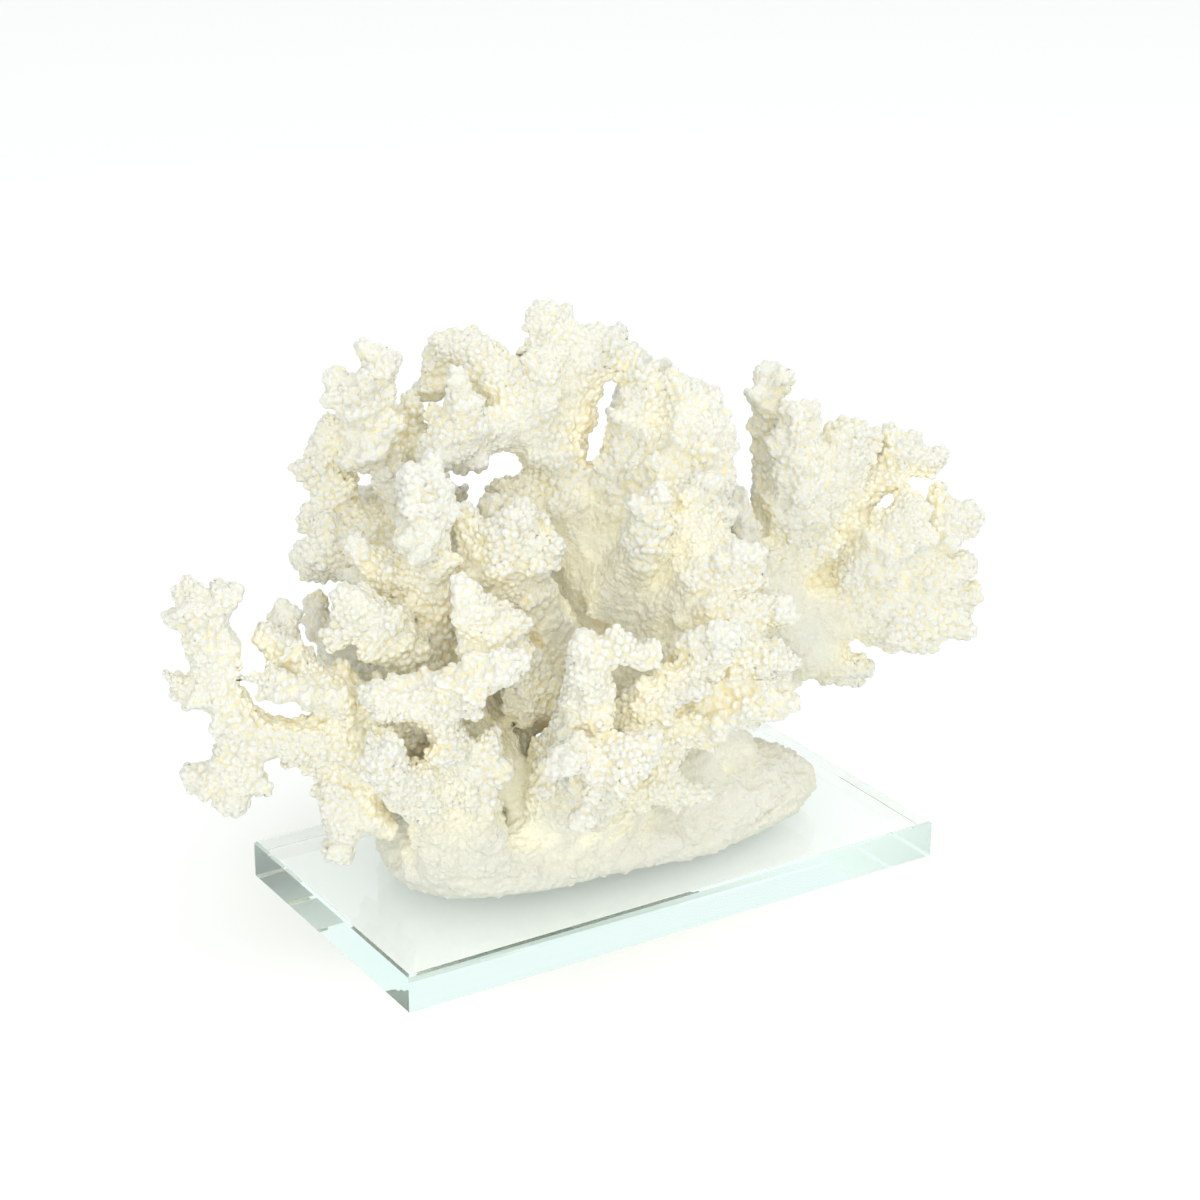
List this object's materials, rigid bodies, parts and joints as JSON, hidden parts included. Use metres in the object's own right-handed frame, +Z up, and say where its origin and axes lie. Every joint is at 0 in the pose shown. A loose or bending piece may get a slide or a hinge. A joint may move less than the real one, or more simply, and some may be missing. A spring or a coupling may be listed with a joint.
{
  "type": "branching coral on a glass slab",
  "caption": "White branching coral skeleton with knobbly, blunt limbs on a low crust foot, standing on a clear glass slab with green edges.",
  "frame": {"origin": "middle of the glass slab's underside", "axes": "+Z up, +X along the slab's long edge, +Y towards the back of the coral"},
  "size_m": [0.2644, 0.1478, 0.1826],
  "materials": {
    "coral": "dry, chalky and knobbly",
    "glass": "polished clear float glass, green at the edges"
  },
  "bodies": {
    "root": {"glass_slab": "glass", "coral_foot": "coral", "trunk_middle": "coral", "trunk_left": "coral", "trunk_right": "coral", "crown_left": "coral", "crown_left_arm": "coral", "crown_nub": "coral", "crown_middle": "coral", "crown_right": "coral", "crown_far_right": "coral", "crown_front": "coral", "front_right_top": "coral", "front_right": "coral", "front_shelf": "coral", "front_middle": "coral", "front_low": "coral", "front_low_right": "coral", "left_inner_top": "coral", "left_inner_low": "coral", "left_middle": "coral", "left_knuckle": "coral", "upper_left": "coral", "upper_left_top": "coral", "upper_left_spike": "coral", "left_blade": "coral", "left_back_blade": "coral", "left_fan": "coral", "far_left_arm": "coral", "far_left_spire": "coral", "low_left": "coral", "front_arm": "coral", "front_fingers": "coral", "front_thumb": "coral", "right_upper": "coral", "right_crown": "coral", "right_finger": "coral", "right_lower": "coral", "right_lower_tip": "coral", "right_stump": "coral", "back_top": "coral", "back_left": "coral", "back_middle": "coral", "back_right": "coral", "back_low_left": "coral", "back_low_right": "coral"}
  },
  "joints": []
}
